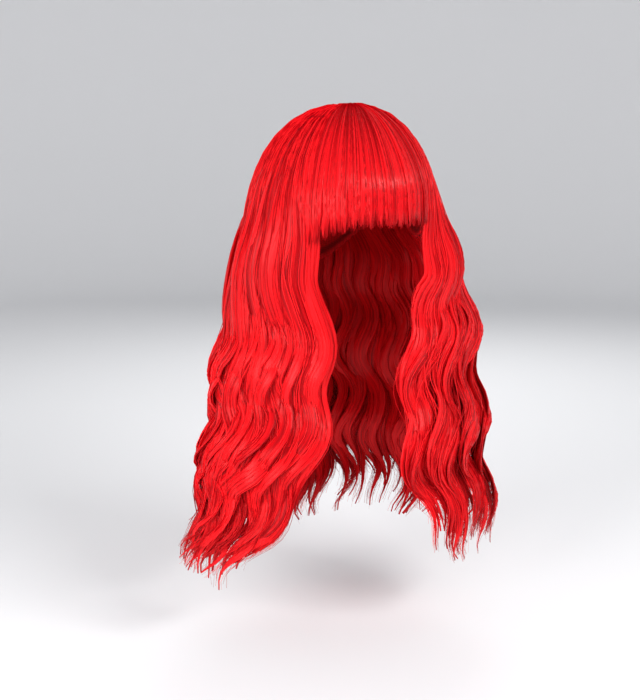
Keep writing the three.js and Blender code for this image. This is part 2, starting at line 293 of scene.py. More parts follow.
def read_lock(lock, share):
    """The lock's arrays read between its stations, at each strand's own shares of the length."""
    place = np.clip(share, 0, 1) * (len(lock["run"]) - 1)
    low = np.minimum(place.astype(int), len(lock["run"]) - 2)
    rest = place - low

    def read(key):
        table = lock[key]
        blend = rest[..., None] if table.ndim == 2 else rest
        return table[low] * (1 - blend) + table[low + 1] * blend

    return {key: read(key) for key in ("point", "side", "out", "run", "loose", "half_width", "half_thick")}


def clear_of_head(points, margin=0.035):
    """Move points that lie inside the egg, grown by a share of its size, straight out to its skin.

    A point's size in the egg is the root of its squared shares of the egg's three half sizes.
    """
    above = points[..., 2:] + dome_height
    tall = np.where(above < 0, nape_taper, dome_height)
    shares = np.concatenate([points[..., :2] / head_half, above / tall], -1)
    size = np.maximum(np.linalg.norm(shares, axis=-1, keepdims=True), 0.5)
    centre = np.array([0, 0, -dome_height])
    return centre + (points - centre) * np.maximum(1, (1 + margin) / size)


def spacing(lock, stations):
    """Shares of the length for the stations, fewer of them on the dome and more in the waves."""
    return np.interp(np.linspace(0, 1, stations), [0, lock["sparse"], 1], [0, 0.33, 1])


def lay(lock, across, depth, reach, stations, shift=0.0):
    """Middle lines of strands in a lock.

    Each point is the lock's middle, plus across times the half width along side, plus depth times
    the half thickness along out, plus the wave: a sine sideways and a cosine in and out. The wave
    grows in over wave_ramp, from wave_start or the lock's own millimetres later. Where the lock lies
    on the head, depth is squeezed to the outer half. Between 125 and 215 mm down it eases into a
    lens, depth times the root of one minus the square of nine tenths of across.
    """
    at = read_lock(lock, np.reshape(reach, (-1, 1)) * spacing(lock, stations))
    flat = 0.62 + 0.36 * depth
    lens = depth * np.sqrt(np.clip(1 - (0.9 * across) ** 2, 0.15, 1))
    free = smooth(at["run"], 125, 215) if lock["hangs"] else 0.0
    deep = flat * (1 - free) + lens * free
    rise = 0.35 + 0.65 * smooth(at["run"], 0, 16)
    begin = wave_start + lock["later"]
    grown = smooth(at["run"], begin, begin + wave_ramp)
    turn = 2 * np.pi * (at["run"] / wave_length + lock["phase"] + shift)
    sideways = across * at["half_width"] + wave_swing * grown * np.sin(turn)
    outward = deep * at["half_thick"] * rise + wave_lift * grown * np.cos(turn)
    middle = at["point"] + at["side"] * sideways[..., None] + at["out"] * outward[..., None]
    return clear_of_head(middle), at


print("a strand's places at 44 stations:", lay(locks["fringe"][0], 0.2, 0.5, [1, 0.9], 44)[0].shape)

# %% [markdown]
# ## Tubes
#
# One helper turns any number of middle lines into closed tubes. The shape is a function of two
# numbers, how far along and how far around, worked out for all strands at once. Blender's bevelled
# curves would give round tubes too, but a ribbon's section is flat and rippled.


# %% Turn middle lines into closed tubes
def tubes(middle, out, wide, thick, sides, ripple=0.0, twist=0.0):
    """Vertices of closed tubes, shaped (strand, station, corner, 3).

    A corner at angle a is the middle plus wide times cos(a) along side plus thick times sin(a)
    along out. ripple swells and pinches the section three and five times around, and twist turns
    that pattern along the tube.
    """
    side, out = crossways(middle, out)
    count, stations = middle.shape[:2]
    angle = np.arange(sides) / sides * 2 * np.pi
    slide = np.linspace(0, 1, stations)[:, None] * 2 * np.pi * twist
    phase = rng.random((2, count, 1, 1)) * 2 * np.pi
    swell = 1 + ripple * (np.sin(3 * angle + phase[0] + slide) + 0.7 * np.sin(5 * angle + phase[1] - slide))
    wide, thick = (np.broadcast_to(size, (count, stations))[..., None] * swell for size in (wide, thick))
    return (middle[:, :, None] + side[:, :, None] * (wide * np.cos(angle))[..., None]
            + out[:, :, None] * (thick * np.sin(angle))[..., None])


def tube_faces(count, stations, sides):
    """Quads between neighbouring stations and corners, and one flat face over each end."""
    corner = np.arange(sides)
    after = (corner + 1) % sides
    first = (np.arange(count)[:, None, None] * stations + np.arange(stations - 1)[:, None]) * sides
    quads = np.stack([first + corner, first + sides + corner, first + sides + after, first + after], -1)
    start = np.arange(count)[:, None] * stations * sides
    ends = np.concatenate([start + corner, start + (stations - 1) * sides + corner[::-1]])
    return quads.reshape(-1, 4), ends


def tube_map(quads_shape, ends_count, sides, lengths):
    """The pattern's place on each face corner: u once around the tube, v along it in decimetres."""
    count, stations = quads_shape
    k = np.arange(sides)
    u = np.stack([k, k, k + 1, k + 1], -1) / sides
    u = np.broadcast_to(u, (count, stations - 1, sides, 4))
    v = np.stack([lengths[:, :-1], lengths[:, 1:], lengths[:, 1:], lengths[:, :-1]], -1) / 100
    v = np.broadcast_to(v[:, :, None], (count, stations - 1, sides, 4))
    body = np.stack([u, v], -1).reshape(-1, 2)
    return np.concatenate([body, np.zeros((ends_count * sides, 2))])


quads, ends = tube_faces(1, 3, 4)
print("a tube of 3 stations and 4 corners has", len(quads), "quads and", len(ends), "ends")

# %% [markdown]
# ## One mesh for many tubes
#
# A mesh made face by face in Python would take minutes for this many strands, so whole arrays are
# handed to Blender instead. Each piece gets its own map, its material and its tones, which are one
# random number per strand.


# %% Make a piece from sets of tubes
def add_piece(name, parts, material, solid=None):
    """One mesh from several sets of tubes, each (vertices, tone), set to ride with the wig."""
    points, tones, loops, sizes, maps, offset = [], [], [], [], [], 0
    for vertices, tone in parts:
        count, stations, sides = vertices.shape[:3]
        quads, ends = tube_faces(count, stations, sides)
        middle = vertices.mean(2)
        steps = np.linalg.norm(np.diff(middle, axis=1), axis=2)
        lengths = np.concatenate([np.zeros((count, 1)), np.cumsum(steps, 1)], 1)
        points.append(vertices.reshape(-1, 3))
        tones.append(np.broadcast_to(np.reshape(tone, (-1, 1, 1)), (count, stations, sides)).ravel())
        loops += [quads.ravel() + offset, ends.ravel() + offset]
        sizes += [np.full(len(quads), 4), np.full(len(ends), sides)]
        maps.append(tube_map((count, stations), len(ends), sides, lengths))
        offset += vertices[..., 0].size
    points, loops, sizes = np.concatenate(points) * METRES, np.concatenate(loops), np.concatenate(sizes)
    mesh = bpy.data.meshes.new(name)
    mesh.vertices.add(len(points))
    mesh.vertices.foreach_set("co", points.astype(np.float32).ravel())
    mesh.loops.add(len(loops))
    mesh.loops.foreach_set("vertex_index", loops.astype(np.int32))
    mesh.polygons.add(len(sizes))
    mesh.polygons.foreach_set("loop_start", (np.cumsum(sizes) - sizes).astype(np.int32))
    mesh.polygons.foreach_set("use_smooth", np.ones(len(sizes), bool))
    mesh.update(calc_edges=True)
    mesh.attributes.new("tone", "FLOAT", "POINT").data.foreach_set(
        "value", np.concatenate(tones).astype(np.float32))
    mesh.uv_layers.new(name="along").data.foreach_set("uv", np.concatenate(maps).astype(np.float32).ravel())
    mesh.materials.append(material)
    piece = bpy.data.objects.new(name, mesh)
    bpy.context.scene.collection.objects.link(piece)
    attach(piece, "root")
    if solid:
        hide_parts(solid)
    print(name, "triangles:", int((sizes - 2).sum()))


# %% [markdown]
# ## The fibre's finish
#
# Costume fibre is a bright, even red plastic thread. What the eye reads as hair is the streaks:
# every strand is a little lighter or darker than the next, the gaps between strands are deep red,
# and a soft light runs across all of them as a band. The streaks are one node group, used by
# every hair material with its own values. It stretches a noise pattern along the strand.


# %% A node group for streaks along a strand
def node(tree, kind, x, y, values=(), **settings):
    """Add one node at a place in the tree and give it its settings and its sockets their values."""
    made = tree.nodes.new(kind)
    made.location = (x, y)
    for key, value in settings.items():
        setattr(made, key, value)
    for key, value in dict(values).items():
        made.inputs[key].default_value = value
    return made


def streak_group():
    """Streaks: noise on (u times across, v times along, tone), with the strand's tone mixed in.

    The tone is multiplied by 91, so that each strand reads a part of the noise of its own.
    Root is 1 for 35 mm from the whorl and fades until 130 mm. There the shade is lowered, which is
    painted shade for the darker top of the head, and the materials take the gloss away.
    """
    tree = bpy.data.node_groups.new("strand_streaks", "ShaderNodeTree")
    for name, value in (("Across", 14.0), ("Along", 1.2), ("Strand Share", 0.5)):
        socket = tree.interface.new_socket(name, in_out="INPUT", socket_type="NodeSocketFloat")
        socket.default_value = value
    for name in ("Shade", "Height", "Root"):
        tree.interface.new_socket(name, in_out="OUTPUT", socket_type="NodeSocketFloat")
    link = tree.links.new
    given = node(tree, "NodeGroupInput", -900, 0)
    given_back = node(tree, "NodeGroupOutput", 500, 0)
    tone = node(tree, "ShaderNodeAttribute", -900, -260, attribute_name="tone")
    place = node(tree, "ShaderNodeUVMap", -900, 220, uv_map="along")
    split = node(tree, "ShaderNodeSeparateXYZ", -700, 220)
    link(place.outputs["UV"], split.inputs[0])
    across = node(tree, "ShaderNodeMath", -500, 260, operation="MULTIPLY")
    along = node(tree, "ShaderNodeMath", -500, 80, operation="MULTIPLY")
    apart = node(tree, "ShaderNodeMath", -500, -120, {1: 91.0}, operation="MULTIPLY")
    link(split.outputs["X"], across.inputs[0])
    link(given.outputs["Across"], across.inputs[1])
    link(split.outputs["Y"], along.inputs[0])
    link(given.outputs["Along"], along.inputs[1])
    link(tone.outputs["Fac"], apart.inputs[0])
    joined = node(tree, "ShaderNodeCombineXYZ", -300, 160)
    for source, target in ((across, "X"), (along, "Y"), (apart, "Z")):
        link(source.outputs[0], joined.inputs[target])
    noise = node(tree, "ShaderNodeTexNoise", -120, 160, {"Scale": 1.0, "Detail": 3.0, "Roughness": 0.62})
    link(joined.outputs[0], noise.inputs["Vector"])
    mix = node(tree, "ShaderNodeMix", 120, 60, data_type="FLOAT")
    link(given.outputs["Strand Share"], mix.inputs[0])
    link(noise.outputs["Fac"], mix.inputs[2])
    link(tone.outputs["Fac"], mix.inputs[3])
    root = node(tree, "ShaderNodeMapRange", -120, -180, interpolation_type="SMOOTHSTEP",
                values={"From Min": 0.35, "From Max": 1.3, "To Min": 1.0, "To Max": 0.0})
    link(split.outputs["Y"], root.inputs["Value"])
    # Painted shade: the shade is lowered by 0.18 times Root, so the fibres near the whorl read darker.
    darker = node(tree, "ShaderNodeMath", 300, 0, {1: -0.18}, operation="MULTIPLY_ADD")
    link(root.outputs["Result"], darker.inputs[0])
    link(mix.outputs[0], darker.inputs[2])
    link(darker.outputs[0], given_back.inputs["Shade"])
    link(root.outputs["Result"], given_back.inputs["Root"])
    link(noise.outputs["Fac"], given_back.inputs["Height"])
    return tree


streaks = streak_group()
print("streak group:", [(item.name, item.in_out) for item in streaks.interface.items_tree])

# %% [markdown]
# ## Four hair materials
#
# The gloss of such fibre is the fibre's own red, not white, because the light goes in and out of
# coloured plastic. A hair shader would do this for single curves, but these are tubes and ribbons
# that each stand for many fibres, so the Principled shader is used, with a red specular tint. Its
# anisotropy stretches the gloss across the fibres into the band that runs over the fringe.


# %% A hair material from the streaks
def new_material(name):
    """A material with nodes, with its tree and its Principled shader."""
    material = bpy.data.materials.new(name)
    material.use_nodes = True
    return material, material.node_tree, material.node_tree.nodes["Principled BSDF"]


def fibre(name, dark, middle, bright, across, strand_share, bump, roughness, banded):
    """A hair material: streaks choose between three reds, roughen the gloss and raise the surface.

    banded stretches the gloss sideways over the fibres, along the map's u, as fine threads do.
    """
    material, tree, shader = new_material(name)
    link = tree.links.new
    group = node(tree, "ShaderNodeGroup", -700, 100, node_tree=streaks,
                 values={"Across": across, "Strand Share": strand_share})
    ramp = node(tree, "ShaderNodeValToRGB", -440, 200)
    ramp.color_ramp.elements[0].position = 0.3
    ramp.color_ramp.elements[0].color = (*dark, 1)
    ramp.color_ramp.elements[1].position = 0.64
    ramp.color_ramp.elements[1].color = (*bright, 1)
    half = ramp.color_ramp.elements.new(0.47)
    half.color = (*middle, 1)
    link(group.outputs["Shade"], ramp.inputs[0])
    link(ramp.outputs["Color"], shader.inputs["Base Color"])
    gloss = node(tree, "ShaderNodeMapRange", -440, -60,
                 {"To Min": roughness + 0.12, "To Max": roughness - 0.06})
    link(group.outputs["Shade"], gloss.inputs["Value"])
    dull = node(tree, "ShaderNodeMath", -240, -60, {1: 0.4}, operation="MULTIPLY_ADD", use_clamp=True)
    link(group.outputs["Root"], dull.inputs[0])
    link(gloss.outputs["Result"], dull.inputs[2])
    link(dull.outputs[0], shader.inputs["Roughness"])
    relief = node(tree, "ShaderNodeBump", -240, -220, {"Strength": bump, "Distance": 0.0006})
    link(group.outputs["Height"], relief.inputs["Height"])
    link(relief.outputs["Normal"], shader.inputs["Normal"])
    level = node(tree, "ShaderNodeMath", -240, 340, {1: -0.5, 2: 0.5}, operation="MULTIPLY_ADD")
    link(group.outputs["Root"], level.inputs[0])
    link(level.outputs[0], shader.inputs["Specular IOR Level"])
    shader.inputs["Specular Tint"].default_value = (1.0, 0.34, 0.34, 1)
    shader.inputs["IOR"].default_value = 1.36
    if banded:
        shader.inputs["Anisotropic"].default_value = banded
        sideways = node(tree, "ShaderNodeTangent", -240, -420, direction_type="UV_MAP", uv_map="along")
        link(sideways.outputs["Tangent"], shader.inputs["Tangent"])
    return material


ribbon_finish = fibre(
    "red_fibre_ribbons", dark=(0.22, 0.001, 0.003), middle=(0.52, 0.002, 0.005),
    bright=(0.79, 0.008, 0.012), across=26, strand_share=0.22, bump=1.0, roughness=0.30, banded=0.7)
fringe_finish = fibre(
    "red_fibre_fringe", dark=(0.32, 0.001, 0.003), middle=(0.54, 0.002, 0.005),
    bright=(0.72, 0.007, 0.011), across=8, strand_share=0.22, bump=1.0, roughness=0.25, banded=0.8)
# The strands' reds stand above the ribbons' reds: painted highlight, so the fine lines over the hair read
# bright. Each strand's tone also differs at random.
strand_finish = fibre(
    "red_fibre_strands", dark=(0.42, 0.001, 0.004), middle=(0.62, 0.004, 0.008),
    bright=(0.92, 0.014, 0.019), across=2, strand_share=0.85, bump=0.2, roughness=0.30, banded=0.0)
# The fringe's strands are a darker copy of the strands' reds: painted shade for the darker top of the head.
fringe_strand_finish = fibre(
    "red_fibre_fringe_strands", dark=(0.32, 0.001, 0.003), middle=(0.54, 0.003, 0.007),
    bright=(0.80, 0.010, 0.015), across=2, strand_share=0.85, bump=0.2, roughness=0.30, banded=0.0)
print("hair materials:", [material.name for material in bpy.data.materials if "fibre" in material.name])

# %% [markdown]
# ## The long panels
#
# Up close a lock is a handful of flat ribbons of fibre, each as wide as a finger and a few
# millimetres thick. They swing a little out of step, so they cross and turn their edges. One
# smooth tube for each lock would be lighter, but it would look like modelling clay. A ribbon is a
# flat tube along its own middle line, so all the ribbons of a lock are worked out at once.


# %% Ribbons of one lock
RIBBON_ACROSS = np.array([-0.86, -0.58, -0.29, 0.0, 0.29, 0.58, 0.86, -0.5, 0.0, 0.5])
RIBBON_DEPTH = np.array([0.56, 0.68, 0.77, 0.8, 0.77, 0.68, 0.56, -0.5, -0.6, -0.5])
RIBBON_STRANDS = np.array([11, 11, 11, 11, 11, 11, 11, 4, 4, 4])


def ribbons_of(lock, stations=48):
    """Ribbons of a lock: their middle lines, frames, half sizes and lengths run.

    A ribbon swings with its lock and once more by itself, a sine sideways and a cosine in and
    out, with its own length of wave. It turns about its own line by a share of a right angle
    that follows the same swing, and narrows to a blade at its tip. The ribbons on a lock's inner
    side, the last three, swing half as much. A ribbon's half width is 0.26 of the lock's on the
    dome and 0.40 of it below.
    """
    count = len(RIBBON_ACROSS)
    across = (RIBBON_ACROSS + rng.normal(0, 0.04, count))[:, None]
    depth = (RIBBON_DEPTH + rng.normal(0, 0.05, count))[:, None] + wander(count, stations, 0.08, 1.5)
    reach = 1 - 0.11 * rng.random(count) ** 1.5
    shift = rng.normal(0, 0.04, (count, 1)) + wander(count, stations, 0.05, 1.0)
    run = reach[:, None] * spacing(lock, stations) * lock["run"][-1]
    grown = smooth(run - lock["later"], ribbon_start, ribbon_start + ribbon_ramp)
    outer = np.where(RIBBON_DEPTH > 0, 1.0, 0.5)[:, None]
    across = across + (0.04 + 0.28 * grown) * outer * wander(count, stations, 1.0, 1.1)
    middle, at = lay(lock, across, depth, reach, stations, shift)
    side, out = crossways(middle, at["out"])
    own = wave_length * rng.uniform(0.93, 1.08, (count, 1))
    turn = 2 * np.pi * (at["run"] / own + lock["phase"] + rng.normal(0, 0.1, (count, 1)))
    size = rng.uniform(0.5, 1.25, (count, 1)) + wander(count, stations, 0.4, 1.5)
    size = size * grown * outer * lock["play"]
    middle = clear_of_head(middle + side * (ribbon_swing * size * np.sin(turn))[..., None]
                           + out * (ribbon_lift * size * np.cos(turn))[..., None])
    side, out = crossways(middle, at["out"])
    lean = size * 0.4 * np.cos(turn) + grown * rng.normal(0, 0.2, (count, 1))
    out = out * np.cos(lean)[..., None] + side * np.sin(lean)[..., None]
    side, out = crossways(middle, out)
    share = at["run"] / (lock["run"][-1] * reach[:, None])
    blade = 1 - 0.85 * smooth(share, 0.84, 1)
    born = 0.5 + 0.5 * smooth(at["run"], 0, 30)
    spread = at["half_width"] * (0.26 * (1 - at["loose"]) + 0.40 * at["loose"]) * born
    spread = spread * (1 + (rng.uniform(0.65, 1.25, (count, 1)) - 1) * at["loose"])
    thick = ribbon_thickness_on_dome * (1 - at["loose"]) + ribbon_thickness * at["loose"]
    thick = thick * (1 - 0.85 * smooth(share, 0.6, 1)) * born
    return dict(middle=middle, side=side, out=out, wide=spread * blade, spread=spread, thick=thick,
                run=at["run"])


print("ribbons in a lock:", len(RIBBON_ACROSS), "and strands on them:", RIBBON_STRANDS.sum())

# %% [markdown]
# ## Strands on the ribbons
#
# Fine strands lie on every ribbon and leave it at its tip. They give the panel its grain and its
# brush-like ends. They could be scattered over the ribbon's surface, but then they would need a
# search for the nearest face, so each reads its ribbon's own middle line, frame and size instead.


# %% Strands on a ribbon
def strands_on(ribbons, each, stations, radius, begin=0.0):
    """Strands on their ribbon: its middle, plus a share of its half width, plus its half thickness.

    The share wanders. The ribbon narrows to a point at its tip and the strands don't, so they
    fan out there like a brush. begin is the share of the ribbon's length where the strands start.
    On the dome, where the stations are far apart, the strands stand half a millimetre higher.
    """
    count, places = ribbons["run"].shape
    owner = np.repeat(np.arange(count), each)
    total = len(owner)
    t = begin + (1 - 0.1 * rng.random((total, 1)) ** 2 - begin) * np.linspace(0, 1, stations)
    spot = t * (places - 1)
    low = np.minimum(spot.astype(int), places - 2)
    rest = spot - low

    def read(key):
        table = ribbons[key]
        blend = rest[..., None] if table.ndim == 3 else rest
        return table[owner[:, None], low] * (1 - blend) + table[owner[:, None], low + 1] * blend

    across = rng.uniform(-1.0, 1.0, (total, 1)) + wander(total, stations, 0.22, 1.6)
    face = np.where(rng.random((total, 1)) < 0.78, 1.0, -1.0)
    round_off = np.sqrt(np.clip(1 - across ** 2, 0.02, 1))
    on_dome = 1 - smooth(read("run"), leaves_head + 20, hangs_free)
    lifted = face * (read("thick") * (round_off + 0.12) + 0.5 * on_dome)
    lifted = lifted + wander(total, stations, 0.5, 2.5) * (1 - 0.6 * on_dome)
    width = read("spread") * (1 + 0.3 * smooth(t, 0.8, 1))
    middle = (read("middle") + read("side") * (width * across)[..., None]
              + read("out") * lifted[..., None])
    slim = radius * (0.75 + 0.25 * smooth(t, 0.2, 0.5) - 0.7 * smooth(t, 0.75, 1))
    slim = slim * rng.uniform(0.7, 1.25, (total, 1))
    return middle, read("out"), slim


# %% [markdown]
# ## Filling, strays and crossing strands
#
# A real lock is full of fibre, and here a core keeps the light from shining through it. Its tone
# is 0, so it reads darker: painted shade for the inside of the lock. A few strays lift off the lock,
# because a wig with a perfectly clean outline looks moulded. Other strands pass from one lock to the
# next, since combed hair never falls in separate ropes.


# %% The core and the loose strands
def core_of(lock, stations, reach):
    """The filling of a lock, close to the cap on the dome and in the lock's middle below it. Its callers
    give it tone 0, which darkens it as painted shade.
    """
    centre = np.zeros((1, stations))
    loose = lay(lock, centre, centre, [reach], stations)[1]["loose"]
    middle, at = lay(lock, centre, 0.05 * loose - 0.4 * (1 - loose), [reach], stations)
    point = 1 - 0.9 * smooth(np.linspace(0, 1, stations), 0.7, 1)
    thick = at["half_thick"] * (0.22 + 0.06 * at["loose"])
    wide = at["half_width"] * (0.85 - 0.17 * at["loose"])
    return tubes(middle, at["out"], wide * point, thick * point, 10)


def tapered(radius, count, stations):
    """Radii that are whole for 0.7 of a strand's length and shrink to 0.4 of it at the tip."""
    return radius * (1 - 0.6 * smooth(np.linspace(0, 1, stations), 0.7, 1)) * np.ones((count, 1))


def strays_of(lock, count, stations, radius):
    """Loose strands near the lock's surface, which wave out of step with it."""
    edge = rng.random(count) * 2 * np.pi
    across = (np.cos(edge) * 1.04)[:, None] + wander(count, stations, 0.2, 3)
    depth = (np.sin(edge) * 1.05)[:, None] + wander(count, stations, 0.25, 3)
    reach = 0.86 + 0.145 * rng.random(count)
    shift = rng.normal(0, 0.08, (count, 1)) + wander(count, stations, 0.08, 2)
    middle, at = lay(lock, across, depth, reach, stations, shift)
    return middle, at["out"], tapered(radius, count, stations)


def crossing_strands(node_name, count, stations, radius):
    """Strands on a panel's outer face that leave one lock for the next on their way down.

    Each is laid in two neighbouring locks, and its line passes smoothly from the one to the other.
    """
    rows = locks[node_name]
    across = rng.uniform(-0.9, 0.9, (count, 1)) + wander(count, stations, 0.3, 1.5)
    depth = rng.uniform(0.85, 1.12, (count, 1)) + wander(count, stations, 0.12, 2.0)
    reach = 0.84 + 0.15 * rng.random(count)
    laid = [lay(lock, across, depth, reach, stations, rng.normal(0, 0.05, (count, 1))) for lock in rows]
    lines, outs = np.stack([one[0] for one in laid]), np.stack([one[1]["out"] for one in laid])
    each = np.arange(count)
    first = rng.integers(0, len(rows), count)
    after = np.where(first == 1, rng.choice([0, 2], count), 1)
    begin = rng.uniform(0.2, 0.6, (count, 1))
    passed = smooth(np.linspace(0, 1, stations), begin, begin + 0.38)[..., None]
    middle = lines[first, each] * (1 - passed) + lines[after, each] * passed
    out = outs[first, each] * (1 - passed) + outs[after, each] * passed
    return middle, out, tapered(radius, count, stations)


# %% [markdown]
# ## Put the panels together
#
# Each panel becomes two pieces, its ribbons and its strands, because the two have their own finish
# and each stays light enough to hand over. The ribbons stand for the panel's solid. Each panel has
# a seed of its own, so a change to one of them leaves the others as they were.


# %% Dress the seven long panels
def dress(node_name, stray_count, crossing_count):
    """Replace a panel's solid with its ribbons, and lay its strands and strays over them."""
    bodies, strands = [], []
    for lock in locks[node_name]:
        # The core's tone 0 makes it darker: painted shade inside the lock.
        bodies.append((core_of(lock, stations=32, reach=0.9), [0.0]))
        ribbons = ribbons_of(lock)
        bodies.append((tubes(ribbons["middle"], ribbons["out"], ribbons["wide"], ribbons["thick"],
                             sides=10, ripple=0.05, twist=2), rng.random(len(RIBBON_ACROSS))))
        for middle, out, slim in (strands_on(ribbons, RIBBON_STRANDS, 40, strand_radius),
                                  strands_on(ribbons, 5, 14, strand_radius, begin=0.74),
                                  strays_of(lock, stray_count, 40, stray_radius)):
            strands.append((tubes(middle, out, slim, slim, 3), rng.random(len(middle))))
    middle, out, slim = crossing_strands(node_name, crossing_count, 40, crossing_radius)
    strands.append((tubes(middle, out, slim, slim, 3), rng.random(len(middle))))
    add_piece(node_name + "_ribbons", bodies, ribbon_finish, solid=node_name)
    add_piece(node_name + "_strands", strands, strand_finish)


for number, name in enumerate(LOCKS):
    rng = np.random.default_rng(100 + number)
    dress(name, stray_count=8, crossing_count=36)

# %% [markdown]
# ## The fringe
#
# The fringe is the same fibre, combed dead straight and cut level. Its ribbons are flat and close,
# its strands hardly wander, and each ends at its own length, within a few millimetres.


# %% Dress the fringe
def reach_edge(lock, across):
    """The share of a fringe lock's length at which the cut edge lies, for strands at these places.

    The edge rises and falls by 2 mm as a row of small points, nearly two to a lock.
    """
    turned = lock["around"] - across * np.degrees(lock["half_width"][-1] / head_half.mean())
    tuft = np.abs((across * 1.7 + 0.31 * lock["around"]) % 1 - 0.5)
    return (cut_edge(turned) + 3) / lock["past"] - 0.03 * tuft


def fringe_ribbons(lock, upper=20, lower=8, stations=16):
    """Flat ribbons in two layers, which end in small points a few millimetres apart.

    A ribbon's half width is 0.15 of the lock's, and its half thickness is 0.55 mm.
    """
    across = np.concatenate([np.linspace(-0.97, 0.97, upper), np.linspace(-0.85, 0.85, lower)])
    count = len(across)
    depth = np.concatenate([rng.uniform(0.60, 0.66, upper), rng.uniform(-0.2, 0.3, lower)])[:, None]
    reach = reach_edge(lock, across) + 0.008 - 0.04 * rng.random(count) ** 1.5
    across = (across + rng.normal(0, 0.03, count))[:, None] + wander(count, stations, 0.02, 1)
    middle, at = lay(lock, across, depth * np.ones((1, stations)), reach, stations)
    _, out = crossways(middle, at["out"])
    share = np.linspace(0, 1, stations)
    blade = 1 - 0.85 * smooth(share, 0.93, 1)
    return dict(middle=middle, out=out, run=at["run"],
                wide=at["half_width"] * 0.15 * blade * (0.5 + 0.5 * smooth(at["run"], 0, 25)),
                thick=0.55 * (1 - 0.6 * smooth(share, 0.7, 1)) * np.ones((count, 1)))


def dress_fringe(strands_per_lock, stations=16):
    """Replace the fringe's solid with flat ribbons and straight strands that end unevenly."""
    bodies, strands = [], []
    for lock in locks["fringe"]:
        # The core's tone 0 makes it darker: painted shade inside the fringe lock.
        bodies.append((core_of(lock, stations=14, reach=0.84), [0.0]))
        ribbons = fringe_ribbons(lock)
        bodies.append((tubes(ribbons["middle"], ribbons["out"], ribbons["wide"], ribbons["thick"],
                             sides=6, ripple=0.05, twist=1), rng.random(len(ribbons["run"]))))
        across = rng.uniform(-1.0, 1.0, (strands_per_lock, 1))
        reach = reach_edge(lock, across[:, 0]) + 0.014 - 0.045 * rng.random(strands_per_lock) ** 2
        across = across + wander(strands_per_lock, stations, 0.03, 1.2)
        depth = rng.uniform(0.3, 0.84, (strands_per_lock, 1)) * np.ones((1, stations))
        middle, at = lay(lock, across, depth, reach, stations)
        slim = fringe_radius * (1 - 0.6 * smooth(np.linspace(0, 1, stations), 0.8, 1))
        slim = slim * rng.uniform(0.7, 1.2, (strands_per_lock, 1))
        strands.append((tubes(middle, at["out"], slim, slim, 3), rng.random(strands_per_lock)))
    add_piece("fringe_ribbons", bodies, fringe_finish, solid="fringe")
    add_piece("fringe_strands", strands, fringe_strand_finish)


rng = np.random.default_rng(50)
dress_fringe(strands_per_lock=130)

# %% [markdown]
# ## The cap
#
# Under the hair is a stretch net with rows of stitched tracks and a folded band round its edge.
# Only its inside shows, under the fringe. A cloth solver would add nothing to a net pulled tight
# over a head, so the cap is the egg's own surface with ridges where the tracks run. Its threads are
# too fine for geometry, and two crossed waves in the material stand for them.


# %% A net finish
def net_finish():
    """A deep red knit: threads from two waves, turned 45 degrees either way on the cap's own map.

    A wave of scale s repeats every 0.314 / s decimetres, so the threads are 0.9 mm apart. The third
    wave, of scale 2.42, darkens the net between the tracks, which are 13 mm apart.
    """
    material, tree, shader = new_material("deep_red_net")
    link = tree.links.new
    place = node(tree, "ShaderNodeUVMap", -1000, 100, uv_map="along")
    waves = []
    for turn, y in ((0.785, 200), (-0.785, -100)):
        turned = node(tree, "ShaderNodeMapping", -800, y, {"Rotation": (0, 0, turn)})
        wave = node(tree, "ShaderNodeTexWave", -600, y, {"Scale": 35.0, "Distortion": 0.4})
        link(place.outputs["UV"], turned.inputs["Vector"])
        link(turned.outputs["Vector"], wave.inputs["Vector"])
        waves.append(wave)
    weave = node(tree, "ShaderNodeMath", -400, 60, operation="MAXIMUM")
    link(waves[0].outputs["Fac"], weave.inputs[0])
    link(waves[1].outputs["Fac"], weave.inputs[1])
    tracks = node(tree, "ShaderNodeTexWave", -600, -400, {"Scale": 2.42}, bands_direction="Y")
    link(place.outputs["UV"], tracks.inputs["Vector"])
    between = node(tree, "ShaderNodeMapRange", -400, -300, {"From Max": 0.5, "To Min": 0.3})
    link(tracks.outputs["Fac"], between.inputs["Value"])
    shade = node(tree, "ShaderNodeMath", -300, 60, operation="MULTIPLY")
    link(weave.outputs[0], shade.inputs[0])
    link(between.outputs["Result"], shade.inputs[1])
    ramp = node(tree, "ShaderNodeValToRGB", -220, 160)
    ramp.color_ramp.elements[0].color = (0.10, 0.001, 0.002, 1)
    ramp.color_ramp.elements[1].color = (0.80, 0.007, 0.012, 1)
    shader.inputs["IOR"].default_value = 1.25
    link(shade.outputs[0], ramp.inputs[0])
    link(ramp.outputs["Color"], shader.inputs["Base Color"])
    relief = node(tree, "ShaderNodeBump", -220, -200, {"Strength": 0.8, "Distance": 0.0004})
    link(weave.outputs[0], relief.inputs["Height"])
    link(relief.outputs["Normal"], shader.inputs["Normal"])
    shader.inputs["Roughness"].default_value = 0.85
    return material


# %% [markdown]
# ## The cap's shell
#
# The edge runs from the forehead over the ears to the nape. It comes from a table of how far down
# the cap reaches at a few angles around. Both skins, the rounded edge and the tracks are one
# surface, the head's own formula with a little added, which closes at the top inside and outside.

# %% The shell, its edge and its tracks
# How far down the edge lies, in degrees, at each angle around from the face.
CAP_EDGE = np.array([(0, 58), (48, 68), (84, 100), (118, 92), (180, 113)], float)
MM_PER_DEGREE = 1.55
track_gap, band_width = 13.0, 9.0


def cap_edge(around):
    """How far down the cap reaches at each angle around, eased between the table's rows."""
    turn = np.abs((around + 180) % 360 - 180)
    row = np.clip(np.searchsorted(CAP_EDGE[:, 0], turn, side="left"), 1, len(CAP_EDGE) - 1)
    low, high = CAP_EDGE[row - 1], CAP_EDGE[row]
    return low[:, 1] + (high[:, 1] - low[:, 1]) * smooth(turn, low[:, 0], high[:, 0])


